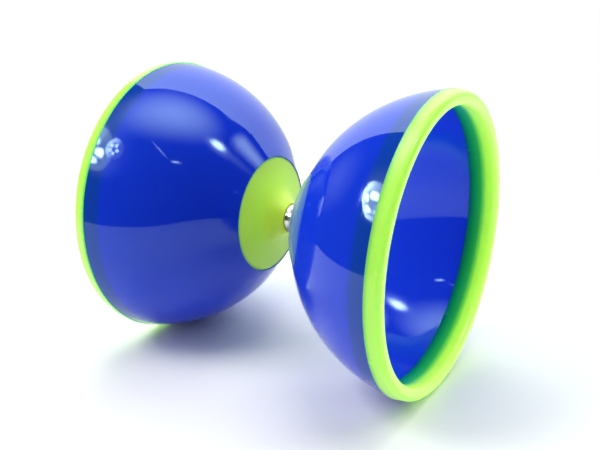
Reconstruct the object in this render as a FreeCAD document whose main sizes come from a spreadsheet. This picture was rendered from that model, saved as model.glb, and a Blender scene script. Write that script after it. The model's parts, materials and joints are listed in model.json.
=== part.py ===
import FreeCAD, Part
import Sketcher
import math
import os
from types import SimpleNamespace

# Diabolo, the two-cup Chinese yo-yo, on a ball-bearing axle. Millimetres and degrees.
#
# Row frame: the origin is the middle of the axle, +Y runs along the axle into the right
# cup, and +Z is up. Each piece is drawn about its own local Z axis, the axis it is turned
# on, and its Placement lays that axis along the axle. A station is a distance along the
# axle: from the middle of the diabolo, or for a bearing's pieces from that bearing's middle.

# Driving sizes: name, number, meaning. Lengths in millimetres, angles in degrees.
SIZES = (
    # Cup shell
    ("hub_radius", 26.0, "edge of the hub, where the cup shell starts"),
    ("shell_start", 12.7, "station of the shell's edge round the hub"),
    ("shell_land", 0.35, "width of the flat edge of the shell round the hub"),
    ("hub_seat", 14.6, "station of the face that the hub's disc sits on"),
    ("cup_floor", 18.2, "station of the cup's floor, inside"),
    ("spigot_radius", 10.0, "hub spigot that passes through the floor"),
    ("cone_angle", 52.5, "half-angle of the cone that the bowl starts with"),
    ("cone_length", 13.3, "length of that cone along its slope"),
    ("bowl_radius", 68.8, "radius of the bowl's curve beyond the cone"),
    ("shell_wall", 3.0, "wall of the cone and the bowl"),
    ("floor_fillet", 12.0, "inside corner between floor and cone"),
    # Rim ring
    ("rim_shoulder", 66.1, "station where shell and rim ring meet outside"),
    ("skirt_end", 58.6, "station of the deep end of the ring's skirt"),
    ("skirt_edge", 0.6, "thickness of the skirt at its deep end"),
    ("shoulder_wall", 1.4, "shell wall left outside the skirt at the shoulder"),
    ("rim_radius", 63.5, "radius of the ring's shoulder, the largest of the whole diabolo"),
    ("shoulder_round", 0.25, "rounding of the ring's shoulder"),
    ("rim_taper", 0.4, "how much the ring narrows from its shoulder to its front"),
    ("half_width", 72.3, "station of the rim ring's front face"),
    ("rim_round", 2.4, "outer rounding of the rim ring"),
    ("mouth_round", 2.2, "inner rounding of the rim ring"),
    ("mouth_radius", 57.2, "mouth of the cup at its lip"),
    # Hub
    ("nose_station", 2.4, "station of the hub's nose"),
    ("nose_bore", 6.2, "bore of the nose, round the roller"),
    ("nose_land", 6.5, "radius where the nose starts to round over"),
    ("nose_radius", 6.85, "radius of the nose where its flank starts"),
    ("nose_round", 0.35, "rounding of the nose"),
    ("flank_angle", 25.0, "slope of the nose's flank against the axle"),
    ("cove_radius", 13.0, "curve between the nose and the disc"),
    ("dish_angle", 74.0, "slope of the disc against the axle"),
    ("hub_edge_round", 0.6, "rounding of the disc's edge"),
    ("bush_seat", 10.0, "station of the seat for the bush's flange"),
    # Bush
    ("bush_bore", 2.55, "bore of the bush"),
    ("bush_nose", 3.05, "radius of the end that bears on the inner ring"),
    ("bush_flange", 5.8, "radius of the bush's flange"),
    ("bush_flange_start", 8.3, "station of the flange's inner face"),
    ("bush_sleeve", 4.2, "radius of the sleeve through the hub"),
    # Roller and snap rings
    ("roller_radius", 6.0, "outside of the string roller"),
    ("roller_half", 7.5, "half the roller's length"),
    ("groove_half", 1.9, "half the width of the string groove"),
    ("groove_curve", 9.1, "radius of the string groove's shallow curve"),
    ("ring_thick", 0.8, "thickness of a snap ring"),
    ("ring_groove", 5.4, "radius of the groove that a snap ring sits in"),
    ("ring_band", 0.75, "radial width of a snap ring"),
    ("ring_gap", 16.0, "half the angle of the snap ring's gap"),
    ("ring_lug", 1.5, "radial depth of the snap ring's lugs"),
    ("ring_lug_angle", 15.0, "angle that each lug takes"),
    ("ring_hole", 0.35, "radius of the plier hole in a lug"),
    # Ball bearings
    ("bearing_bore", 2.5, "bore radius of the inner ring"),
    ("bearing_outside", 5.0, "outside radius of the outer ring"),
    ("bearing_width", 4.0, "width of one bearing"),
    ("inner_land", 3.15, "outside radius of the inner ring"),
    ("outer_land", 4.35, "inside radius of the outer ring"),
    ("ball_circle", 3.75, "radius of the circle of balls"),
    ("ball_radius", 0.65, "radius of a ball"),
    ("race_radius", 0.7, "radius of the raceways' section"),
    ("cage_half", 1.0, "half the width of the cage"),
    ("cage_wall", 0.4, "radial thickness of the cage"),
    ("shield_seat", 4.55, "radius of the step that a shield sits in"),
    ("shield_inner", 3.3, "inner radius of a shield"),
    ("shield_start", 1.6, "station of a shield's inner face"),
    ("shield_thick", 0.25, "thickness of a shield"),
    ("bearing_chamfer", 0.15, "chamfer on the rings' corners"),
    # Fasteners
    ("bolt_radius", 2.48, "shank of the M5 through bolt"),
    ("bolt_length", 50.0, "length of the bolt under its head"),
    ("bolt_head_radius", 4.25, "socket head radius"),
    ("bolt_head_height", 5.0, "socket head height"),
    ("bolt_chamfer", 0.4, "chamfer on the head and the tip"),
    ("socket_flats", 4.0, "hexagon socket across its flats"),
    ("socket_depth", 2.5, "depth of the hexagon socket"),
    ("thread_pitch", 0.8, "pitch of the thread rings"),
    ("thread_depth", 0.42, "depth of the thread rings"),
    ("thread_turns", 19, "number of thread rings"),
    ("clamp_radius", 13.0, "radius of the large washer on the cup's floor"),
    ("clamp_bore", 2.7, "bore radius of the washers"),
    ("clamp_thick", 1.6, "thickness of the large washer"),
    ("plain_radius", 5.0, "radius of the washer under the nut"),
    ("plain_thick", 1.0, "thickness of the washer under the nut"),
    ("spring_radius", 4.4, "radius of the split lock washer"),
    ("spring_thick", 1.2, "thickness of the split lock washer"),
    ("spring_turn", 350.0, "angle that the split washer covers"),
    ("washer_chamfer", 0.2, "chamfer on the washers' edges"),
    ("nut_flats", 8.0, "nut across its flats"),
    ("nut_hexagon", 3.6, "height of the nut's hexagon"),
    ("nut_height", 5.0, "whole height of the nut"),
    ("nut_collar", 3.7, "radius of the collar round the insert"),
    ("nut_bore", 2.5, "radius of the nut's bore"),
    ("insert_start", 3.2, "height of the insert's seat in the nut"),
    ("insert_end", 4.5, "height of the insert's top"),
    ("insert_radius", 3.2, "outside radius of the insert"),
    ("crimp_radius", 2.8, "opening of the crimped lip over the insert"),
)

BALLS = 9
FULL_TURN = 360.0
TO_RIGHT = -90.0  # turn about X that lays local +Z along +Y
TO_LEFT = 90.0  # turn about X that lays local +Z along -Y
SIDES = (("right", TO_RIGHT), ("left", TO_LEFT))


class Size:
    """A length or angle: the sheet expression that it is bound to, and its number."""

    def __init__(self, words, number):
        self.words = words
        self.number = number

    def __add__(self, other):
        other = as_size(other)
        return Size(f"({self.words} + {other.words})", self.number + other.number)

    def __sub__(self, other):
        other = as_size(other)
        return Size(f"({self.words} - {other.words})", self.number - other.number)

    def __mul__(self, other):
        other = as_size(other)
        return Size(f"({self.words} * {other.words})", self.number * other.number)

    def __truediv__(self, other):
        other = as_size(other)
        return Size(f"({self.words} / {other.words})", self.number / other.number)

    def __neg__(self):
        return Size(f"(0 - {self.words})", -self.number)


def as_size(value):
    if isinstance(value, Size):
        return value
    return Size(repr(float(value)), float(value))


def sine(angle):
    angle = as_size(angle)
    return Size(f"sin({angle.words} * 1 deg)", math.sin(math.radians(angle.number)))


def cosine(angle):
    angle = as_size(angle)
    return Size(f"cos({angle.words} * 1 deg)", math.cos(math.radians(angle.number)))


def root(value):
    return Size(f"sqrt({value.words})", math.sqrt(value.number))


def polar(radius, angle):
    return radius * cosine(angle), radius * sine(angle)


ZERO = as_size(0)
S = SimpleNamespace(**{name: Size(f"sizes.{name}", number) for name, number, _ in SIZES})


def make_sheet(doc):
    sheet = doc.addObject("Spreadsheet::Sheet", "sizes")
    for row, (name, number, meaning) in enumerate(SIZES, start=1):
        sheet.set(f"A{row}", name)
        sheet.set(f"B{row}", str(number))
        sheet.set(f"C{row}", meaning)
        sheet.setAlias(f"B{row}", name)


def origin_part(body, role):
    """The body's own origin plane or axis with this role, such as XY_Plane."""
    return next(part for part in body.Origin.OriginFeatures if part.Role == role)


class Outline:
    """A closed sketch, drawn corner by corner. Every corner and arc is bound to the sheet.

    In the XZ plane x is a radius and y a station along the turning axis.
    """

    def __init__(self, body, name, plane="XZ_Plane"):
        self.sketch = body.newObject("Sketcher::SketchObject", name)
        self.sketch.AttachmentSupport = [(origin_part(body, plane), "")]
        self.sketch.MapMode = "FlatFace"
        self.geometry = []
        self.constraints = []
        self.bindings = []
        self.loop_start = 0

    def begin(self, across, along):
        """Starts a loop at a corner."""
        self.first = (as_size(across), as_size(along))
        self.here = self.first
        self.last_end = None
        self.loop_start = len(self.geometry)
        return self

    def line(self, across, along):
        """A straight edge to the next corner."""
        target = (as_size(across), as_size(along))
        self._edge(Part.LineSegment(spot(self.here), spot(target)), 1, 2, target)
        return self

    def arc(self, across, along, bend):
        """An arc to the next corner, turning left (a positive bend) or right."""
        target = (as_size(across), as_size(along))
        bend = as_size(bend)
        radius = abs(bend.number)
        start, end = spot(self.here), spot(target)
        chord = end - start
        rise = math.sqrt(radius**2 - chord.Length**2 / 4)
        aside = FreeCAD.Vector(-chord.y, chord.x, 0).normalize()
        centre = (start + end) * 0.5 + aside * math.copysign(rise, bend.number)
        low, high = (start, end) if bend.number > 0 else (end, start)
        low_angle = math.atan2(low.y - centre.y, low.x - centre.x)
        high_angle = math.atan2(high.y - centre.y, high.x - centre.x)
        if high_angle < low_angle:
            high_angle += 2 * math.pi
        circle = Part.Circle(centre, FreeCAD.Vector(0, 0, 1), radius)
        ends = (1, 2) if bend.number > 0 else (2, 1)
        self._edge(Part.ArcOfCircle(circle, low_angle, high_angle), *ends, target)
        edge = len(self.geometry) - 1
        length = bend if bend.number > 0 else -bend
        self._bind(Sketcher.Constraint("Radius", edge, radius), length)
        return self

    def close(self):
        """A straight edge back to the loop's first corner."""
        return self.line(*self.first)

    def circle(self, across, along, radius):
        """A round hole or pin as a loop of its own."""
        middle = (as_size(across), as_size(along))
        radius = as_size(radius)
        self.geometry.append(Part.Circle(spot(middle), FreeCAD.Vector(0, 0, 1), radius.number))
        edge = len(self.geometry) - 1
        self._place(edge, 3, middle)
        self._bind(Sketcher.Constraint("Radius", edge, radius.number), radius)
        return self

    def hexagon(self, flats):
        """A hexagon about the axis, by its width across the flats."""
        corner = flats / math.sqrt(3)
        self.begin(*polar(corner, 0))
        for step in range(1, 6):
            self.line(*polar(corner, 60 * step))
        return self.close()

    def done(self):
        """Writes the geometry, its constraints and their expressions into the sketch."""
        self.sketch.addGeometry(self.geometry, False)
        self.sketch.addConstraint(self.constraints)
        for index, words in self.bindings:
            self.sketch.setExpression(f"Constraints[{index}]", words)
        return self.sketch

    def _edge(self, shape, start_end, far_end, target):
        self.geometry.append(shape)
        edge = len(self.geometry) - 1
        if self.last_end is None:
            self._place(edge, start_end, self.first)
            self.first_end = (edge, start_end)
        else:
            self._tie(self.last_end, (edge, start_end))
        if target == self.first:
            self._tie((edge, far_end), self.first_end)
        else:
            self._place(edge, far_end, target)
        self.last_end = (edge, far_end)
        self.here = target

    def _tie(self, one, other):
        self.constraints.append(Sketcher.Constraint("Coincident", *one, *other))

    def _place(self, edge, end, corner):
        """Holds a point at its distances from the sketch's origin, or on its axes."""
        for kind, distance, axis in zip(("DistanceX", "DistanceY"), corner, (-2, -1)):
            if abs(distance.number) < 1e-9:
                self.constraints.append(Sketcher.Constraint("PointOnObject", edge, end, axis))
            else:
                rule = Sketcher.Constraint(kind, -1, 1, edge, end, distance.number)
                self._bind(rule, distance)

    def _bind(self, constraint, size):
        self.bindings.append((len(self.constraints), size.words))
        self.constraints.append(constraint)


def spot(corner):
    return FreeCAD.Vector(corner[0].number, corner[1].number, 0)


def new_body(doc, label, turn=TO_RIGHT, station=ZERO):
    """A body whose local +Z lies along the axle, at a station."""
    body = doc.addObject("PartDesign::Body", label)
    body.Label = label
    middle = FreeCAD.Vector(0, station.number, 0)
    body.Placement = FreeCAD.Placement(middle, FreeCAD.Rotation(FreeCAD.Vector(1, 0, 0), turn))
    if station is not ZERO:
        body.setExpression("Placement.Base.y", station.words)
    return body


def revolve(body, sketch, kind="Revolution", angle=None):
    """Turns a sketch about its vertical axis: a Revolution adds, a Groove cuts."""
    feature = body.newObject(f"PartDesign::{kind}", kind)
    feature.Profile = sketch
    feature.ReferenceAxis = (sketch, ["V_Axis"])
    feature.Angle = FULL_TURN
    if angle is not None:
        feature.setExpression("Angle", angle.words)
    sketch.Visibility = False
    return feature


def extrude(body, sketch, kind, length, start, reverse=False):
    """Pads or pockets a sketch of the XY plane, from a station along local Z."""
    feature = body.newObject(f"PartDesign::{kind}", kind)
    feature.Profile = sketch
    feature.setExpression("Length", length.words)
    feature.Reversed = reverse
    sketch.setExpression(".AttachmentOffset.Base.z", start.words)
    sketch.Visibility = False
    return feature


def repeat_round(body, feature, count):
    """Repeats a feature evenly round the turning axis."""
    pattern = body.newObject("PartDesign::PolarPattern", "Round")
    pattern.Originals = [feature]
    pattern.Axis = (origin_part(body, "Z_Axis"), [""])
    pattern.Angle = FULL_TURN
    pattern.Occurrences = count
    body.Tip = pattern
    return pattern


def bowl_centre():
    """Centre of the bowl's curve, which leaves the cone smoothly."""
    across = S.hub_radius + S.shell_land + S.cone_length * sine(S.cone_angle)
    along = S.shell_start + S.cone_length * cosine(S.cone_angle)
    return (
        across - S.bowl_radius * cosine(S.cone_angle),
        along + S.bowl_radius * sine(S.cone_angle),
    )


def bowl_at(station, inset):
    """Radius of the bowl's curve at a station, this far inside its outer face."""
    centre_across, centre_along = bowl_centre()
    radius = S.bowl_radius - inset
    drop = centre_along - station
    return centre_across + root(radius * radius - drop * drop)


def cup_shell(doc, side, turn):
    """Blue bowl: a flat floor, a short cone and a long curve out to the rim ring."""
    body = new_body(doc, f"cup_shell_{side}", turn)
    centre_across, centre_along = bowl_centre()
    inner = S.bowl_radius - S.shell_wall
    outer_join = (
        centre_across + S.bowl_radius * cosine(S.cone_angle),
        centre_along - S.bowl_radius * sine(S.cone_angle),
    )
    inner_join = (
        centre_across + inner * cosine(S.cone_angle),
        centre_along - inner * sine(S.cone_angle),
    )
    slope = sine(S.cone_angle) / cosine(S.cone_angle)
    corner = inner_join[0] - (inner_join[1] - S.cup_floor) * slope
    tangent = S.floor_fillet * ((as_size(1) - sine(S.cone_angle)) / cosine(S.cone_angle))
    outer_rim = bowl_at(S.rim_shoulder, ZERO)
    inner_rim = bowl_at(S.skirt_end, S.shell_wall)
    outline = Outline(body, "Section")
    outline.begin(S.spigot_radius, S.hub_seat)
    outline.line(S.hub_radius, S.hub_seat)
    outline.line(S.hub_radius, S.shell_start)
    outline.line(S.hub_radius + S.shell_land, S.shell_start)
    outline.line(*outer_join)
    outline.arc(outer_rim, S.rim_shoulder, S.bowl_radius)
    outline.line(outer_rim - S.shoulder_wall, S.rim_shoulder)
    outline.line(inner_rim + S.skirt_edge, S.skirt_end)
    outline.line(inner_rim, S.skirt_end)
    outline.arc(*inner_join, -inner)
    outline.line(
        corner + tangent * sine(S.cone_angle),
        S.cup_floor + tangent * cosine(S.cone_angle),
    )
    outline.arc(corner - tangent, S.cup_floor, -S.floor_fillet)
    outline.line(S.spigot_radius, S.cup_floor)
    revolve(body, outline.close().done())
    return body


def rim_ring(doc, side, turn):
    """Yellow-green lip, thick and rounded, with a tapered skirt inside the mouth of the cup."""
    body = new_body(doc, f"rim_ring_{side}", turn)
    outer_rim = bowl_at(S.rim_shoulder, ZERO)
    inner_rim = bowl_at(S.skirt_end, S.shell_wall)
    rim_front = S.rim_radius - S.rim_taper
    outline = Outline(body, "Section")
    outline.begin(inner_rim, S.skirt_end)
    outline.line(inner_rim + S.skirt_edge, S.skirt_end)
    outline.line(outer_rim - S.shoulder_wall, S.rim_shoulder)
    outline.line(S.rim_radius - S.shoulder_round, S.rim_shoulder)
    outline.arc(S.rim_radius, S.rim_shoulder + S.shoulder_round, S.shoulder_round)
    outline.line(rim_front, S.half_width - S.rim_round)
    outline.arc(rim_front - S.rim_round, S.half_width, S.rim_round)
    outline.line(S.mouth_radius + S.mouth_round, S.half_width)
    outline.arc(S.mouth_radius, S.half_width - S.mouth_round, S.mouth_round)
    revolve(body, outline.close().done())
    return body


def hub_flare(doc, side, turn):
    """Yellow-green hub: a shallow dished disc that sweeps up into a hollow nose."""
    body = new_body(doc, f"hub_flare_{side}", turn)
    flank_start = S.nose_station + S.nose_round
    cove_end = (
        S.nose_radius + S.cove_radius * (cosine(S.flank_angle) - cosine(S.dish_angle)),
        flank_start + S.cove_radius * (sine(S.dish_angle) - sine(S.flank_angle)),
    )
    disc_edge = S.hub_radius - S.hub_edge_round
    disc_face = cove_end[1] + (disc_edge - cove_end[0]) / (sine(S.dish_angle) / cosine(S.dish_angle))
    outline = Outline(body, "Section")
    outline.begin(S.nose_bore, S.nose_station + S.nose_round)
    outline.arc(S.nose_land, S.nose_station, S.nose_round)
    outline.arc(S.nose_radius, flank_start, S.nose_round * 1.2)
    outline.arc(*cove_end, -S.cove_radius)
    outline.line(disc_edge, disc_face)
    outline.arc(S.hub_radius, disc_face + S.hub_edge_round, S.hub_edge_round)
    outline.line(S.hub_radius, S.hub_seat)
    outline.line(S.spigot_radius, S.hub_seat)
    outline.line(S.spigot_radius, S.cup_floor)
    outline.line(S.bush_sleeve, S.cup_floor)
    outline.line(S.bush_sleeve, S.bush_seat)
    outline.line(S.nose_bore, S.bush_seat)
    revolve(body, outline.close().done())
    return body


def hub_bush(doc, side, turn):
    """Aluminium bush: carries the clamping force from the large washer to the bearings."""
    body = new_body(doc, f"hub_bush_{side}", turn)
    bearing_end = S.bearing_width * 1.5
    outline = Outline(body, "Section")
    outline.begin(S.bush_bore, bearing_end)
    outline.line(S.bush_nose, bearing_end)
    outline.line(S.bush_nose, S.bush_flange_start)
    outline.line(S.bush_flange, S.bush_flange_start)
    outline.line(S.bush_flange, S.bush_seat)
    outline.line(S.bush_sleeve, S.bush_seat)
    outline.line(S.bush_sleeve, S.cup_floor)
    outline.line(S.bush_bore, S.cup_floor)
    revolve(body, outline.close().done())
    return body


def washer(doc, label, turn, bore, radius, start, thick, angle=None):
    """A turned washer with chamfered outer edges; less than a full turn leaves it split."""
    body = new_body(doc, label, turn)
    cut = S.washer_chamfer
    outline = Outline(body, "Section")
    outline.begin(bore, start)
    outline.line(radius - cut, start)
    outline.line(radius, start + cut)
    outline.line(radius, start + thick - cut)
    outline.line(radius - cut, start + thick)
    outline.line(bore, start + thick)
    revolve(body, outline.close().done(), angle=angle)
    return body


def string_roller(doc):
    """Polished steel sleeve with a shallow string groove and a snap-ring groove at each end."""
    body = new_body(doc, "string_roller")
    edge = S.washer_chamfer * 2
    outer, bore, end = S.roller_radius, S.bearing_outside, S.roller_half
    shelf = S.bearing_width * 1.5
    notch = shelf + S.ring_thick + 0.05
    outline = Outline(body, "Section")
    outline.begin(bore, -end)
    outline.line(outer - edge, -end)
    outline.line(outer, edge - end)
    outline.line(outer, -S.groove_half)
    outline.arc(outer, S.groove_half, -S.groove_curve)
    outline.line(outer, end - edge)
    outline.line(outer - edge, end)
    outline.line(bore, end)
    outline.line(bore, notch)
    outline.line(S.ring_groove, notch)
    outline.line(S.ring_groove, shelf)
    outline.line(bore, shelf)
    outline.line(bore, -shelf)
    outline.line(S.ring_groove, -shelf)
    outline.line(S.ring_groove, -notch)
    outline.line(bore, -notch)
    revolve(body, outline.close().done())
    return body


def snap_ring(doc, side, turn):
    """Internal snap ring: an open band with two lugs for the pliers."""
    body = new_body(doc, f"snap_ring_{side}", turn)
    outer = S.ring_groove
    inner = outer - S.ring_band
    lug = outer - S.ring_lug
    opening, lug_end = S.ring_gap, S.ring_gap + S.ring_lug_angle
    outline = Outline(body, "Band", "XY_Plane")
    outline.begin(*polar(outer, opening))
    for angle in (as_size(120), as_size(240), -opening):
        outline.arc(*polar(outer, angle), outer)
    outline.line(*polar(lug, -opening))
    outline.arc(*polar(lug, -lug_end), -lug)
    outline.line(*polar(inner, -lug_end))
    for angle in (as_size(240), as_size(120), lug_end):
        outline.arc(*polar(inner, angle), -inner)
    outline.line(*polar(lug, lug_end))
    outline.arc(*polar(lug, opening), -lug)
    outline.close()
    for side_sign in (1, -1):
        middle = (opening + S.ring_lug_angle / 2) * side_sign
        outline.circle(*polar(outer - S.ring_lug / 2, middle), S.ring_hole)
    extrude(body, outline.done(), "Pad", S.ring_thick, S.bearing_width * 1.5)
    return body


def bearing_rings(doc, name, station):
    """Inner and outer ring, each with a round raceway and, on the outer one, shield steps."""
    half = S.bearing_width / 2
    cut = S.bearing_chamfer
    reach = S.ball_circle - S.inner_land
    race = root(S.race_radius * S.race_radius - reach * reach)

    inner = new_body(doc, f"{name}_inner_ring", station=station)
    outline = Outline(inner, "Section")
    outline.begin(S.bearing_bore, cut - half)
    outline.line(S.bearing_bore + cut, -half)
    outline.line(S.inner_land, -half)
    outline.line(S.inner_land, -race)
    outline.arc(S.inner_land, race, -S.race_radius)
    outline.line(S.inner_land, half)
    outline.line(S.bearing_bore + cut, half)
    outline.line(S.bearing_bore, half - cut)
    revolve(inner, outline.close().done())

    outer = new_body(doc, f"{name}_outer_ring", station=station)
    outline = Outline(outer, "Section")
    outline.begin(S.bearing_outside - cut, -half)
    outline.line(S.bearing_outside, cut - half)
    outline.line(S.bearing_outside, half - cut)
    outline.line(S.bearing_outside - cut, half)
    outline.line(S.shield_seat, half)
    outline.line(S.shield_seat, S.shield_start)
    outline.line(S.outer_land, S.shield_start)
    outline.line(S.outer_land, race)
    outline.arc(S.outer_land, -race, -S.race_radius)
    outline.line(S.outer_land, -S.shield_start)
    outline.line(S.shield_seat, -S.shield_start)
    outline.line(S.shield_seat, -half)
    revolve(outer, outline.close().done())
    return [inner, outer]


def bearing_balls(doc, name, station):
    """One ring of separate balls."""
    body = new_body(doc, f"{name}_balls", station=station)
    body.AllowCompound = True
    ball = body.newObject("PartDesign::AdditiveSphere", "Ball")
    ball.AttachmentSupport = [(origin_part(body, "XY_Plane"), "")]
    ball.MapMode = "FlatFace"
    ball.setExpression("Radius", S.ball_radius.words)
    ball.setExpression(".AttachmentOffset.Base.x", S.ball_circle.words)
    repeat_round(body, ball, BALLS)
    return body


def bearing_cage(doc, name, station):
    """A ring with one round hole for each ball."""
    body = new_body(doc, f"{name}_cage", station=station)
    low = S.ball_circle - S.cage_wall / 2
    high = S.ball_circle + S.cage_wall / 2
    outline = Outline(body, "Section")
    outline.begin(low, -S.cage_half)
    outline.line(high, -S.cage_half)
    outline.line(high, S.cage_half)
    outline.line(low, S.cage_half)
    revolve(body, outline.close().done())
    hole = Outline(body, "Hole", "YZ_Plane").circle(ZERO, ZERO, S.race_radius).done()
    pocket = extrude(body, hole, "Pocket", S.bearing_outside, ZERO, reverse=True)
    repeat_round(body, pocket, BALLS)
    return body


def bearing_shield(doc, label, turn, station):
    """A thin steel shield pressed into the outer ring's step."""
    body = new_body(doc, label, turn, station)
    outline = Outline(body, "Section")
    outline.begin(S.shield_inner, S.shield_start)
    outline.line(S.shield_seat, S.shield_start)
    outline.line(S.shield_seat, S.shield_start + S.shield_thick)
    outline.line(S.shield_inner, S.shield_start + S.shield_thick)
    revolve(body, outline.close().done())
    return body


def bearing(doc, place, station):
    """A complete shielded ball bearing, size MR105: 5 x 10 x 4 mm."""
    name = f"bearing_{place}"
    pieces = bearing_rings(doc, name, station)
    pieces.append(bearing_balls(doc, name, station))
    pieces.append(bearing_cage(doc, name, station))
    for side, turn in SIDES:
        pieces.append(bearing_shield(doc, f"{name}_{side}_shield", turn, station))
    return pieces


def axle_bolt(doc):
    """M5 socket-head bolt through the whole diabolo. Its head is in the left cup."""
    body = new_body(doc, "axle_bolt")
    seat = -(S.cup_floor + S.clamp_thick + S.spring_thick)
    top = seat - S.bolt_head_height
    tip = seat + S.bolt_length
    cut = S.bolt_chamfer
    outline = Outline(body, "Section")
    outline.begin(ZERO, top)
    outline.line(S.bolt_head_radius - cut, top)
    outline.line(S.bolt_head_radius, top + cut)
    outline.line(S.bolt_head_radius, seat)
    outline.line(S.bolt_radius, seat)
    outline.line(S.bolt_radius, tip - cut)
    outline.line(S.bolt_radius - cut, tip)
    outline.line(ZERO, tip)
    revolve(body, outline.close().done())

    socket = Outline(body, "Socket", "XY_Plane").hexagon(S.socket_flats).done()
    extrude(body, socket, "Pocket", S.socket_depth, top, reverse=True)

    first = tip - cut - S.thread_pitch * 0.5
    half = S.thread_pitch * 0.42
    thread = Outline(body, "Thread")
    thread.begin(S.bolt_radius - S.thread_depth, first)
    thread.line(S.bolt_radius + 0.1, first - half)
    thread.line(S.bolt_radius + 0.1, first + half)
    groove = revolve(body, thread.close().done(), "Groove")
    turns = body.newObject("PartDesign::LinearPattern", "Turns")
    turns.Originals = [groove]
    turns.Direction = (origin_part(body, "Z_Axis"), [""])
    turns.Reversed = True
    turns.setExpression("Length", (S.thread_pitch * (S.thread_turns - 1)).words)
    turns.setExpression("Occurrences", S.thread_turns.words)
    body.Tip = turns
    return body


def lock_nut(doc):
    """Self-locking nut: a hexagon with a round collar crimped over the nylon insert."""
    body = new_body(doc, "lock_nut")
    seat = S.cup_floor + S.clamp_thick + S.plain_thick
    hexagon_top = seat + S.nut_hexagon
    flats = Outline(body, "Hexagon", "XY_Plane").hexagon(S.nut_flats)
    flats.circle(ZERO, ZERO, S.insert_radius)
    extrude(body, flats.done(), "Pad", S.nut_hexagon, seat)

    core = Outline(body, "Core")
    core.begin(S.nut_bore, seat)
    core.line(S.nut_collar, seat)
    core.line(S.nut_collar, hexagon_top + (S.nut_height - S.nut_hexagon) / 2)
    core.line(S.insert_radius, seat + S.nut_height)
    core.line(S.crimp_radius, seat + S.nut_height)
    core.line(S.crimp_radius, seat + S.insert_end)
    core.line(S.insert_radius, seat + S.insert_end)
    core.line(S.insert_radius, seat + S.insert_start)
    core.line(S.nut_bore, seat + S.insert_start)
    revolve(body, core.close().done())

    corner = S.nut_flats / math.sqrt(3) + 0.3
    reach = corner - S.nut_flats / 2
    for name, face, away in (("TopBevel", hexagon_top, -1), ("SeatBevel", seat, 1)):
        bevel = Outline(body, name)
        bevel.begin(S.nut_flats / 2, face)
        bevel.line(corner, face + reach * (0.5 * away))
        bevel.line(corner, face)
        revolve(body, bevel.close().done(), "Groove")
    return body


def nut_insert(doc):
    """Nylon ring that grips the bolt's thread inside the nut."""
    body = new_body(doc, "nut_insert")
    seat = S.cup_floor + S.clamp_thick + S.plain_thick
    outline = Outline(body, "Section")
    outline.begin(S.nut_bore, seat + S.insert_start)
    outline.line(S.insert_radius, seat + S.insert_start)
    outline.line(S.insert_radius, seat + S.insert_end)
    outline.line(S.nut_bore, seat + S.insert_end)
    revolve(body, outline.close().done())
    return body


def build(doc):
    """Every piece of the diabolo, in the order it would go together."""
    make_sheet(doc)
    pieces = [string_roller(doc)]
    stations = (("left", -S.bearing_width), ("middle", ZERO), ("right", S.bearing_width))
    for place, station in stations:
        pieces += bearing(doc, place, station)
    for side, turn in SIDES:
        pieces.append(snap_ring(doc, side, turn))
        pieces.append(cup_shell(doc, side, turn))
        pieces.append(rim_ring(doc, side, turn))
        pieces.append(hub_flare(doc, side, turn))
        pieces.append(hub_bush(doc, side, turn))
        label = f"clamp_washer_{side}"
        pieces.append(
            washer(doc, label, turn, S.clamp_bore, S.clamp_radius, S.cup_floor, S.clamp_thick)
        )
    outside = S.cup_floor + S.clamp_thick
    pieces.append(
        washer(doc, "plain_washer", TO_RIGHT, S.clamp_bore, S.plain_radius, outside, S.plain_thick)
    )
    pieces.append(
        washer(
            doc,
            "spring_washer",
            TO_LEFT,
            S.clamp_bore,
            S.spring_radius,
            outside,
            S.spring_thick,
            angle=S.spring_turn,
        )
    )
    pieces += [axle_bolt(doc), lock_nut(doc), nut_insert(doc)]
    doc.recompute()
    return pieces


def check(doc, pieces):
    """Stops if an object failed, a shape is not valid, or a cut took nothing away."""
    for item in doc.Objects:
        if "Invalid" in item.State or "Error" in item.State:
            raise RuntimeError(f"{item.Label} failed: {item.State}")
        if item.TypeId in ("PartDesign::Pocket", "PartDesign::Groove"):
            if item.Shape.Volume > item.BaseFeature.Shape.Volume - 1e-3:
                raise RuntimeError(f"{item.Label} cuts nothing")
    for body in pieces:
        if body.Shape.isNull() or not body.Shape.isValid():
            raise RuntimeError(f"{body.Label} has no valid shape")
        if body.Shape.Volume <= 0:
            raise RuntimeError(f"{body.Label} has no volume")


def export(pieces):
    os.makedirs("parts", exist_ok=True)
    for body in pieces:
        body.Shape.exportStep(f"parts/{body.Label}.step")
        box = body.Shape.BoundBox
        print(
            f"{body.Label}: {len(body.Shape.Solids)} solid(s), {body.Shape.Volume:.1f} mm3, "
            f"y {box.YMin:.2f} to {box.YMax:.2f}, radius {box.XMax:.2f}"
        )


document = FreeCAD.newDocument("diabolo")
all_pieces = build(document)
check(document, all_pieces)
export(all_pieces)
print(f"{len(all_pieces)} nodes")
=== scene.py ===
"""A diabolo: two blue cups with green rims, bolted back to back through green hubs on a string roller."""

import json
import math

import bpy
from mathutils import Matrix, Vector


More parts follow.
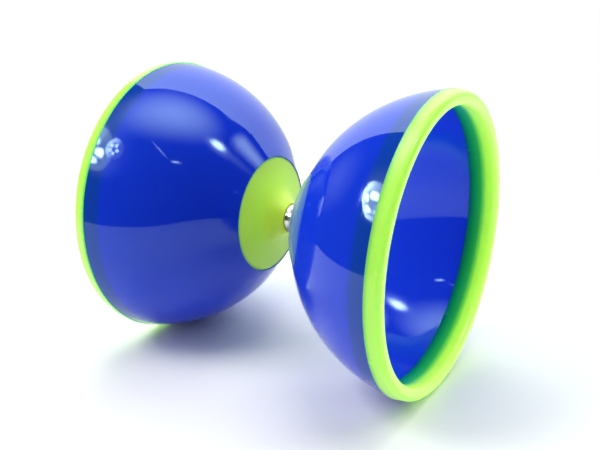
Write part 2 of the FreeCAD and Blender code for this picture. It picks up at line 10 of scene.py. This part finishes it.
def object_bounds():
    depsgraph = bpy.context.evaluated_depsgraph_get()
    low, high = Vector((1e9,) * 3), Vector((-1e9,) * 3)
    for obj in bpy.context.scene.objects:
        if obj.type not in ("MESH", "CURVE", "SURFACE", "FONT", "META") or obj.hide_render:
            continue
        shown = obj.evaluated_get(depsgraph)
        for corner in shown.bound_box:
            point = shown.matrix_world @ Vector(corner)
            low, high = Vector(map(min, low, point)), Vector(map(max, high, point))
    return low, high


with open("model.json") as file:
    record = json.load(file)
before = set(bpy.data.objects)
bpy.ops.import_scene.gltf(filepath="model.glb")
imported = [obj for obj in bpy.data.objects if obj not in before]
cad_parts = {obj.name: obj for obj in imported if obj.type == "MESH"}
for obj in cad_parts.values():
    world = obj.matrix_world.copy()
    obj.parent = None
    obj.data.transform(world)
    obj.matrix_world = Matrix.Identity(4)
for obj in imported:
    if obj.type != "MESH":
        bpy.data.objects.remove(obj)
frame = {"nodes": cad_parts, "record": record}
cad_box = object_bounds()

MM = 0.001

# The level the cups rest on, from the frame, in metres.
FLOOR = cad_box[0].z


# ---------------------------------------------------------------- camera

# The view was fitted to the photograph's outlines by a scratch program.
AIM = Vector((0.6, 2.6, -2.4)) * MM
CAMERA_DISTANCE = 370 * MM
CAMERA_TURN = math.radians(31.39)       # from +X towards +Y, where the right cup's mouth opens
CAMERA_RISE = math.radians(19.18)
LENS = 50.09
TOWARDS_CAMERA = Vector((math.cos(CAMERA_TURN), math.sin(CAMERA_TURN), 0))
CAMERA_RIGHT = Vector((-math.sin(CAMERA_TURN), math.cos(CAMERA_TURN), 0))


def add_camera():
    """A view from a little above the axle, which looks past the right cup at the left one."""
    data = bpy.data.cameras.new("camera")
    data.lens = LENS
    data.sensor_width = 36
    data.clip_start = 0.01
    data.clip_end = 20
    camera = bpy.data.objects.new("camera", data)
    bpy.context.scene.collection.objects.link(camera)
    away = TOWARDS_CAMERA * math.cos(CAMERA_RISE) + Vector((0, 0, math.sin(CAMERA_RISE)))
    camera.location = AIM + away * CAMERA_DISTANCE
    camera.rotation_euler = (-away).to_track_quat("-Z", "Y").to_euler()
    bpy.context.scene.camera = camera


def studio(right, forward, up):
    """A place in millimetres as the camera sees it: to its right, away from it, and up from the axle."""
    return (CAMERA_RIGHT * right - TOWARDS_CAMERA * forward + Vector((0, 0, up))) * MM


# ---------------------------------------------------------------- material nodes

def linear(value):
    value /= 255
    return value / 12.92 if value <= 0.04045 else ((value + 0.055) / 1.055) ** 2.4


def srgb(red, green, blue):
    """A colour from the usual numbers of 0 to 255."""
    return (linear(red), linear(green), linear(blue), 1.0)


# How many times finer the marks of turning are than their length round the axle.
TURNING_STRETCH = 1000 / 3

# The places of a colour Mix node's factor and two colours among its inputs, and of its colour output.
MIX_INPUTS = (0, 6, 7)
MIX_OUTPUT = 2


class Graph:
    """One material and its nodes, which short calls add and join."""

    def __init__(self, name):
        self.material = bpy.data.materials.new(name)
        self.material.use_nodes = True
        self.tree = self.material.node_tree
        self.surface = self.tree.nodes["Principled BSDF"]
        self.place = self.node("ShaderNodeTexCoord").outputs["Object"]
        parts = self.node("ShaderNodeSeparateXYZ", {"Vector": self.place})
        self.x, self.y, self.z = parts.outputs

    def node(self, kind, inputs=None, **settings):
        made = self.tree.nodes.new(kind)
        for name, value in settings.items():
            setattr(made, name, value)
        for name, value in (inputs or {}).items():
            self.feed(made, name, value)
        return made

    def feed(self, node, name, value):
        if isinstance(value, bpy.types.NodeSocket):
            self.tree.links.new(value, node.inputs[name])
        else:
            node.inputs[name].default_value = value

    def set(self, **inputs):
        """Sets the surface's inputs, named with _ for a space."""
        for name, value in inputs.items():
            self.feed(self.surface, name.replace("_", " "), value)

    def math(self, operation, *values):
        return self.node("ShaderNodeMath", dict(enumerate(values)), operation=operation).outputs[0]

    def scaled(self, value, low, high, to_low=0.0, to_high=1.0):
        """value, carried smoothly from the range low to high into the range to_low to to_high."""
        inputs = {"Value": value, "From Min": low, "From Max": high, "To Min": to_low, "To Max": to_high}
        return self.node("ShaderNodeMapRange", inputs, interpolation_type="SMOOTHSTEP").outputs["Result"]

    def length(self, first, second):
        """The length of a line that has these two legs."""
        squares = [self.math("MULTIPLY", leg, leg) for leg in (first, second)]
        return self.math("SQRT", self.math("ADD", *squares))

    def radius(self):
        """Distance from the axle, in metres."""
        return self.length(self.x, self.z)

    def station(self):
        """Distance from the middle of the axle, along it, in metres."""
        return self.math("ABSOLUTE", self.y)

    def in_the_cup(self):
        """1 where the surface faces out of the cup's mouth, as its inside does, and 0 on its outside."""
        normal = self.node("ShaderNodeNewGeometry").outputs["Normal"]
        along = self.node("ShaderNodeSeparateXYZ", {"Vector": normal}).outputs["Y"]
        return self.math("GREATER_THAN", self.math("MULTIPLY", along, self.y), 0.0)

    def noise(self, scale, vector=None, detail=2.0, rough=0.5):
        inputs = {"Vector": vector or self.place, "Scale": scale, "Detail": detail, "Roughness": rough}
        return self.node("ShaderNodeTexNoise", inputs).outputs["Fac"]

    def turned(self):
        """Coordinates for marks of turning: fast along the axle and away from it, and slow round it."""
        lines = self.math("MULTIPLY", self.math("ADD", self.y, self.radius()), TURNING_STRETCH)
        return self.node("ShaderNodeCombineXYZ", {"X": self.x, "Y": lines, "Z": self.z}).outputs[0]

    def ramp(self, factor, stops):
        """A colour for factor, from a list of (factor, colour) stops."""
        made = self.node("ShaderNodeValToRGB", {"Fac": factor})
        marks = made.color_ramp.elements
        while len(marks) < len(stops):
            marks.new(0.5)
        for mark, (at, colour) in zip(marks, stops):
            mark.position = at
            mark.color = colour
        return made.outputs["Color"]

    def mix(self, factor, first, second):
        made = self.node("ShaderNodeMix", data_type="RGBA")
        for index, value in zip(MIX_INPUTS, (factor, first, second)):
            self.feed(made, index, value)
        return made.outputs[MIX_OUTPUT]

    def bump(self, height, distance, under=None):
        inputs = {"Height": height, "Distance": distance}
        if under is not None:
            inputs["Normal"] = under
        return self.node("ShaderNodeBump", inputs).outputs["Normal"]


def hairlines(graph, scale, stretch, turn, width):
    """Sparse fine scratches: 1 on a hairline and 0 beside it. turn is the lie of the lines, in radians."""
    inputs = {"Vector": graph.place, "Rotation": turn, "Scale": stretch}
    laid = graph.node("ShaderNodeMapping", inputs).outputs["Vector"]
    field = graph.noise(scale, laid, detail=3.0, rough=0.55)
    crest = graph.math("ABSOLUTE", graph.math("SUBTRACT", field, 0.5))
    return graph.scaled(crest, 0.0, width, 1.0, 0.0)


# ---------------------------------------------------------------- materials

# Where colours change, as ranges in metres: stations along the axle, and distances from it.
SKIRT_SEEN = (57.8 * MM, 61.2 * MM)       # stations: the skirt shows through the cup's wall from here on
SKIRT_DEPTH = (58.6 * MM, 71.5 * MM)      # stations: the skirt from its deep end to the lip
RIM_SEAM = (66.0 * MM, 68.2 * MM)         # stations: the rim is greener near the seam with the cup
RIM_INSIDE = (60.6 * MM, 61.4 * MM)       # distances: the rim's inner side ends and its outer rounding starts
HUB_NOSE = (9.0 * MM, 16.0 * MM)          # distances: the hub is yellower at the nose
HUB_EDGE = (24.6 * MM, 25.9 * MM)         # distances: the hub is greener at its edge

BLUE = srgb(21, 58, 209)
BLUE_DEEP = srgb(16, 50, 192)
# Painted light: a lighter blue that brightens the inside of each cup.
BLUE_INSIDE_PAINTED_LIGHT = srgb(32, 74, 246)
TEAL = srgb(14, 60, 160)
GREEN = srgb(180, 248, 104)
GREEN_SHADE = srgb(176, 245, 84)
GREEN_SEAM = srgb(104, 226, 96)
HUB_GREEN = srgb(206, 244, 100)
HUB_SHADE = srgb(194, 236, 90)
HUB_YELLOW = srgb(206, 234, 84)
HUB_RIM = srgb(122, 218, 108)

# Painted glow: how strongly emission lights the fluorescent rim, and how much more of it its inner side gets
# near the lip.
RIM_PAINTED_GLOW = 0.18
INNER_PAINTED_GLOW = 0.34


def blue_plastic():
    """Glossy royal blue moulding, with painted light on its inside. The green skirt behind the wall turns its
    edge to teal.
    """
    g = Graph("blue_plastic")
    flow = g.noise(22.0, detail=3.0)
    body = g.mix(flow, BLUE, BLUE_DEEP)
    # Painted light: the inside of the cup gets the lighter blue.
    body = g.mix(g.in_the_cup(), body, BLUE_INSIDE_PAINTED_LIGHT)
    skirt = g.scaled(g.station(), *SKIRT_SEEN)
    g.set(Base_Color=g.mix(skirt, body, TEAL))
    lines = hairlines(g, 9.0, (1.0, 14.0, 1.0), (0.0, 0.3, 0.4), 0.004)
    crossed = hairlines(g, 11.0, (12.0, 1.0, 1.0), (0.7, 0.0, 0.9), 0.003)
    marks = g.math("MAXIMUM", lines, crossed)
    haze = g.scaled(g.noise(48.0, detail=4.0), 0.35, 0.75, 0.035, 0.075)
    g.set(Roughness=g.math("ADD", haze, g.math("MULTIPLY", marks, 0.05)))
    peel = g.bump(g.noise(260.0, detail=1.0), 0.000004)
    g.set(Normal=g.bump(marks, -0.000002, under=peel))
    g.set(IOR=1.5, Specular_Tint=(0.7, 0.96, 1.0, 1.0))
    g.set(Subsurface_Weight=0.25, Subsurface_Radius=(0.15, 0.35, 1.0), Subsurface_Scale=0.003)
    return g.material


def green_rim_plastic():
    """Fluorescent yellow-green moulding, with a painted glow that is strongest on its inner side near the
    lip. Its skirt thins over the blue wall, and its inner side turns darker and bluer with depth into the
    cup.
    """
    g = Graph("green_rim_plastic")
    tint = g.mix(g.noise(30.0, detail=3.0), GREEN, GREEN_SHADE)
    tint = g.mix(g.scaled(g.station(), *RIM_SEAM), GREEN_SEAM, tint)
    stops = [
        (0.0, srgb(0, 128, 104)),
        (0.2, srgb(14, 186, 72)),
        (0.42, srgb(54, 212, 70)),
        (0.54, srgb(116, 238, 66)),
        (0.66, srgb(186, 250, 64)),
        (0.9, srgb(194, 252, 74)),
        (1.0, GREEN),
    ]
    deep_end, lip = SKIRT_DEPTH
    inputs = {"Value": g.station(), "From Min": deep_end, "From Max": lip}
    depth = g.node("ShaderNodeMapRange", inputs).outputs["Result"]
    inside = g.scaled(g.radius(), *RIM_INSIDE, 1.0, 0.0)
    colour = g.mix(inside, tint, g.ramp(depth, stops))
    # Painted glow on the inner side, growing towards the lip.
    lit = g.math("MULTIPLY", inside, g.scaled(depth, 0.4, 0.75, 0.0, INNER_PAINTED_GLOW))
    g.set(Base_Color=colour, Emission_Color=colour, Emission_Strength=g.math("ADD", lit, RIM_PAINTED_GLOW))
    g.set(Roughness=g.scaled(g.noise(70.0, detail=4.0), 0.3, 0.8, 0.2, 0.3))
    g.set(Normal=g.bump(g.noise(900.0, detail=2.0), 0.00001))
    g.set(IOR=1.5, Subsurface_Weight=1.0, Subsurface_Radius=(0.6, 1.0, 0.12), Subsurface_Scale=0.008)
    return g.material


def green_hub_plastic():
    """The same plastic with a satin skin, yellower at its nose and greener at its edge."""
    g = Graph("green_hub_plastic")
    body = g.mix(g.noise(35.0, detail=3.0), HUB_GREEN, HUB_SHADE)
    body = g.mix(g.scaled(g.radius(), *HUB_NOSE), HUB_YELLOW, body)
    edge = g.scaled(g.radius(), *HUB_EDGE)
    g.set(Base_Color=g.mix(edge, body, HUB_RIM))
    g.set(Roughness=g.scaled(g.noise(90.0, detail=4.0), 0.3, 0.8, 0.42, 0.52))
    g.set(Normal=g.bump(g.noise(2600.0, detail=2.0), 0.000012))
    g.set(IOR=1.5, Subsurface_Weight=0.4, Subsurface_Radius=(0.8, 1.0, 0.3), Subsurface_Scale=0.003)
    return g.material


def metal(name, colour, rough, lines=0.000004, stain=0.08):
    """A turned or plated metal: fine marks round the axle, and a little uneven in tone."""
    g = Graph(name)
    cloud = g.noise(180.0, detail=4.0)
    dark = tuple(value * (1 - stain * 2) for value in colour[:3]) + (1.0,)
    g.set(Base_Color=g.mix(g.scaled(cloud, 0.3, 0.75), colour, dark))
    turning = g.noise(60.0, g.turned(), detail=3.0, rough=0.7)
    g.set(Roughness=g.scaled(turning, 0.3, 0.7, rough * 0.8, rough * 1.3))
    g.set(Normal=g.bump(turning, lines))
    g.set(Metallic=1.0)
    return g.material


def nylon():
    """The lock nut's tinted insert."""
    g = Graph("nylon_tinted")
    g.set(Base_Color=g.mix(g.noise(300.0), srgb(96, 140, 200), srgb(78, 120, 186)))
    g.set(Roughness=g.scaled(g.noise(500.0, detail=3.0), 0.3, 0.7, 0.38, 0.5))
    g.set(Normal=g.bump(g.noise(3000.0), 0.00001))
    return g.material


def paint_nodes():
    """Gives each CAD node the material of its slot."""
    finishes = {
        "blue_shell": blue_plastic(),
        "green_rim": green_rim_plastic(),
        "green_hub": green_hub_plastic(),
        "roller_steel": metal("roller_steel", srgb(228, 226, 228), 0.2),
        "bearing_steel": metal("bearing_steel", srgb(208, 210, 214), 0.10, 0.000002),
        "cage_steel": metal("cage_steel", srgb(186, 188, 192), 0.28),
        "shield_steel": metal("shield_steel", srgb(196, 198, 202), 0.22),
        "bush_metal": metal("bush_metal", srgb(208, 210, 214), 0.24, 0.00001),
        "plated_steel": metal("plated_steel", srgb(200, 202, 208), 0.24, 0.000003, 0.14),
        "spring_steel": metal("spring_steel", srgb(120, 120, 124), 0.3),
        "bolt_steel": metal("bolt_steel", srgb(192, 194, 200), 0.22, 0.000003, 0.14),
        "nylon": nylon(),
    }
    slots = {part["node"]: part["material_slot"] for part in frame["record"]["subparts"]}
    for name, piece in frame["nodes"].items():
        for place in piece.material_slots:
            place.material = finishes[slots[name]]


# ---------------------------------------------------------------- floor and light

# The floor is whole as far out as FLOOR_CLEAR, and fades to nothing at FLOOR_REACH.
FLOOR_CLEAR = 140 * MM
FLOOR_REACH = 460 * MM
FLOOR_STEPS = 96

# How far the paper that reflections show lies above the floor, in millimetres.
PAPER_LIFT = 0.05

# The backdrop's place, in millimetres, and how its light grows with each metre up.
BACKDROP_FORWARD = 500
BACKDROP_SIDES = ((-330, -64), (900, -64), (900, 1150), (-330, 1150))
BACKDROP_LEVEL = 0.85
BACKDROP_RISE = 2.3

# The edge of the paper that shows in the cups, in millimetres to the camera's right and away from it.
# A scratch ray tracer gave most of these points, from reflections in the photograph, and they are rounded.
PAPER_OUTLINE = (
    (-510, 175),
    (-450, -20),
    (-400, -225),
    (-360, -230),
    (-165, -370),
    (135, -590),
    (375, -555),
    (900, -480),
    (900, BACKDROP_FORWARD),
    (-540, BACKDROP_FORWARD),
)


def stage_mesh(name, corners, material):
    """A flat face of the stage, which isn't part of the object."""
    mesh = bpy.data.meshes.new(name)
    mesh.from_pydata(corners, [], [list(range(len(corners)))])
    mesh.materials.append(material)
    made = bpy.data.objects.new(name, mesh)
    bpy.context.scene.collection.objects.link(made)
    return made


def only_in_reflections(piece):
    """Keeps a stage piece from the camera's view, from lighting the object and from casting a shadow."""
    piece.visible_camera = False
    piece.visible_diffuse = False
    piece.visible_shadow = False


def white_paper(name):
    """The graph of a matt white surface."""
    g = Graph(name)
    g.set(Base_Color=(0.9, 0.9, 0.9, 1.0), Roughness=0.95)
    return g


def add_floor():
    """White paper. The camera sees it fade into the white around it, and reflections show it with an edge."""
    seen = white_paper("floor_seen")
    seen.set(Alpha=seen.scaled(seen.length(seen.x, seen.y), FLOOR_CLEAR, FLOOR_REACH, 1.0, 0.0))
    turns = [2 * math.pi * step / FLOOR_STEPS for step in range(FLOOR_STEPS)]
    edge = [(FLOOR_REACH * math.cos(turn), FLOOR_REACH * math.sin(turn), FLOOR) for turn in turns]
    stage_mesh("floor", edge, seen.material).visible_glossy = False
    level = FLOOR / MM + PAPER_LIFT
    corners = [studio(right, forward, level) for right, forward in PAPER_OUTLINE]
    only_in_reflections(stage_mesh("paper", corners, white_paper("floor_reflected").material))


GLOW_TINT = (0.9, 1.0, 1.0, 1.0)


def glow(name, strength, shape):
    """Light from a clear sheet. shape gives the factor of strength at each place on it, in its own frame."""
    g = Graph(name)
    level = g.math("MULTIPLY", shape(g), strength)
    light = g.node("ShaderNodeEmission", {"Color": GLOW_TINT, "Strength": level})
    clear = g.node("ShaderNodeBsdfTransparent")
    both = g.node("ShaderNodeAddShader")
    g.feed(both, 0, light.outputs[0])
    g.feed(both, 1, clear.outputs[0])
    g.feed(g.tree.nodes["Material Output"], "Surface", both.outputs[0])
    return g.material


def panel(name, start, end, width, strength, shape):
    """A glowing panel along the line from start to end and width millimetres wide, which only reflections
    show. It reaches from -1 to 1 each way in its own frame."""
    corners = [(-1, -1, 0), (1, -1, 0), (1, 1, 0), (-1, 1, 0)]
    made = stage_mesh(name, corners, glow(name, strength, shape))
    middle = (start + end) / 2
    along = (end - start) / 2
    across = (-middle).cross(along).normalized() * (width / 2 * MM)
    facing = along.cross(across).normalized()
    made.matrix_world = Matrix.Translation(middle) @ Matrix((along, across, facing)).transposed().to_4x4()
    only_in_reflections(made)


def soft_edges(sharpness):
    """A factor of 1 out to sharpness, a share of the panel's reach, which falls smoothly to 0 at its edge."""

    def shape(g):
        return g.scaled(g.length(g.x, g.y), sharpness, 1.0, 1.0, 0.0)

    return shape


def brighter_upwards(g):
    """The backdrop's light grows from the floor to its top edge."""
    return g.math("ADD", g.math("MULTIPLY", g.z, BACKDROP_RISE), BACKDROP_LEVEL)


# A round lamp, as shares of its radius: its cells, the ring they stand on, its raised edge and its dish.
LAMP_CELLS = 5
LAMP_RING = 0.42
CELL_FADES = (0.1, 0.26)
EDGE_STARTS = (0.5, 0.75)
EDGE_ENDS = (0.92, 1.0)
DISH_ENDS = (0.85, 1.0)

# The factors of its parts, and how the light of its edge and dish grows towards one side.
CELL_LEVEL = 2.0
EDGE_LEVEL = 0.9
DISH_LEVEL = 0.5
LEAN_ALONG = -1.2
LEAN_ACROSS = -1.4
LEAN_RANGE = (-0.7, 1.0)
LEAN_LEVELS = (0.1, 1.0)


def lamp_face(g):
    """A round lamp: a dish with an edge, brighter towards one side, and a ring of small cells in it."""
    out = g.length(g.x, g.y)
    cell = 2 * math.pi / LAMP_CELLS
    turn = g.math("ADD", g.math("ARCTAN2", g.y, g.x), 2 * math.pi)
    turn = g.math("SUBTRACT", g.math("MODULO", turn, cell), cell / 2)
    nearer = g.math("MULTIPLY", g.math("MULTIPLY", out, -2 * LAMP_RING), g.math("COSINE", turn))
    square = g.math("ADD", g.math("MULTIPLY", out, out), LAMP_RING * LAMP_RING)
    away = g.math("SQRT", g.math("MAXIMUM", g.math("ADD", square, nearer), 0.0))
    cells = g.scaled(away, *CELL_FADES, CELL_LEVEL, 0.0)
    lean = g.math("MULTIPLY_ADD", g.y, LEAN_ACROSS, g.math("MULTIPLY", g.x, LEAN_ALONG))
    side = g.scaled(lean, *LEAN_RANGE, *LEAN_LEVELS)
    edge = g.math("MULTIPLY", g.scaled(out, *EDGE_STARTS), g.scaled(out, *EDGE_ENDS, EDGE_LEVEL, 0.0))
    dish = g.scaled(out, *DISH_ENDS, DISH_LEVEL, 0.0)
    return g.math("ADD", cells, g.math("MULTIPLY", g.math("ADD", edge, dish), side))


def lamp(name, place, size, radiance):
    """A soft light, turned to the object and not itself seen. Radiance 1 is as bright as a white surface
    at full exposure."""
    data = bpy.data.lights.new(name, "AREA")
    data.shape = "RECTANGLE"
    data.size = size[0] * MM
    data.size_y = size[1] * MM
    data.energy = radiance * math.pi * data.size * data.size_y
    made = bpy.data.objects.new(name, data)
    made.location = place
    made.rotation_euler = (-place).to_track_quat("-Z", "Y").to_euler()
    made.visible_camera = False
    made.visible_glossy = False
    bpy.context.scene.collection.objects.link(made)


def add_lights():
    # Each one's name, place, size in millimetres and radiance. The radiances follow a scratch solver's
    # comparison of renders with the photograph, rounded and partly changed by hand.
    soft_lights = (
        ("overhead", studio(100, 20, 800), (560, 420), 3.2),
        ("side_left", studio(-900, 0, 250), (400, 400), 4.1),
        ("side_right", studio(650, -600, 300), (400, 400), 2.3),
        ("into_mouth", studio(768, -469, -20), (100, 100), 28.0),
        ("top_left", studio(-600, -150, 700), (400, 400), 9.6),
        ("top_right", studio(600, -150, 700), (400, 400), 3.3),
        ("low_left", studio(-800, -300, -20), (400, 400), 4.4),
        ("low_right", studio(800, -300, -20), (400, 400), 1.8),
        ("behind", studio(0, 600, 500), (400, 400), 1.5),
    )
    for name, place, size, radiance in soft_lights:
        lamp(name, place, size, radiance)

    corners = [studio(right, BACKDROP_FORWARD, up) for right, up in BACKDROP_SIDES]
    backdrop = stage_mesh("backdrop", corners, glow("backdrop", 1.1, brighter_upwards))
    backdrop.visible_camera = False

    # A scratch ray tracer guided these places, from where reflections lie in the photograph.
    panel("overhead_glow", studio(-665, -40, 800), studio(715, -40, 800), 880, 5.6, soft_edges(0.0))
    panel("left_haze", studio(-900, 150, 340), studio(-420, 680, 340), 620, 0.7, soft_edges(0.0))
    panel("round_lamp", studio(-530, -120, 275), studio(-245, -120, 275), 285, 17.0, lamp_face)
    panel("lamp_haze", studio(-615, -125, 280), studio(-135, -125, 280), 480, 2.0, soft_edges(0.0))
    panel("little_lamp", studio(-500, -280, 460), studio(-310, -280, 460), 190, 8.0, lamp_face)
    panel("window", studio(365, -180, 650), studio(535, -160, 510), 130, 34.0, soft_edges(0.0))
    panel("window_haze", studio(310, -190, 690), studio(600, -165, 440), 230, 4.0, soft_edges(0.0))
    panel("side_lamp", studio(540, -100, 510), studio(580, 260, 450), 220, 5.4, soft_edges(0.0))
    panel("long_streak", studio(-130, -260, 520), studio(25, -425, 425), 14, 6.0, soft_edges(0.3))
    panel("short_streak", studio(25, -425, 425), studio(120, -415, 415), 26, 13.0, soft_edges(0.3))
    panel("far_streak", studio(-530, 450, 85), studio(-600, 350, 35), 34, 9.0, soft_edges(0.1))


# The room's strength and colour: to the camera past the floor, in reflections, and as light on the object.
ROOM = {
    "seen": (1.0, (1, 1, 1, 1)),
    "reflected": (0.02, (0.96, 0.97, 1, 1)),
    "lighting": (0.06, (0.96, 0.97, 1, 1)),
}


def add_world():
    """White where the camera looks past the floor, and a dim room in reflections."""
    world = bpy.data.worlds.new("room")
    world.use_nodes = True
    bpy.context.scene.world = world
    nodes, links = world.node_tree.nodes, world.node_tree.links
    nodes.clear()
    rays = nodes.new("ShaderNodeLightPath")
    levels = {}
    for name, (strength, colour) in ROOM.items():
        level = nodes.new("ShaderNodeBackground")
        level.inputs["Strength"].default_value = strength
        level.inputs["Color"].default_value = colour
        levels[name] = level.outputs[0]

    def choose(question, no, yes):
        mixed = nodes.new("ShaderNodeMixShader")
        for place, value in zip(mixed.inputs, (rays.outputs[question], no, yes)):
            links.new(value, place)
        return mixed.outputs[0]

    unseen = choose("Is Glossy Ray", levels["lighting"], levels["reflected"])
    room = choose("Is Camera Ray", unseen, levels["seen"])
    out = nodes.new("ShaderNodeOutputWorld")
    links.new(room, out.inputs["Surface"])


add_camera()
paint_nodes()
add_floor()
add_lights()
add_world()
bpy.context.scene.view_settings.view_transform = "Standard"
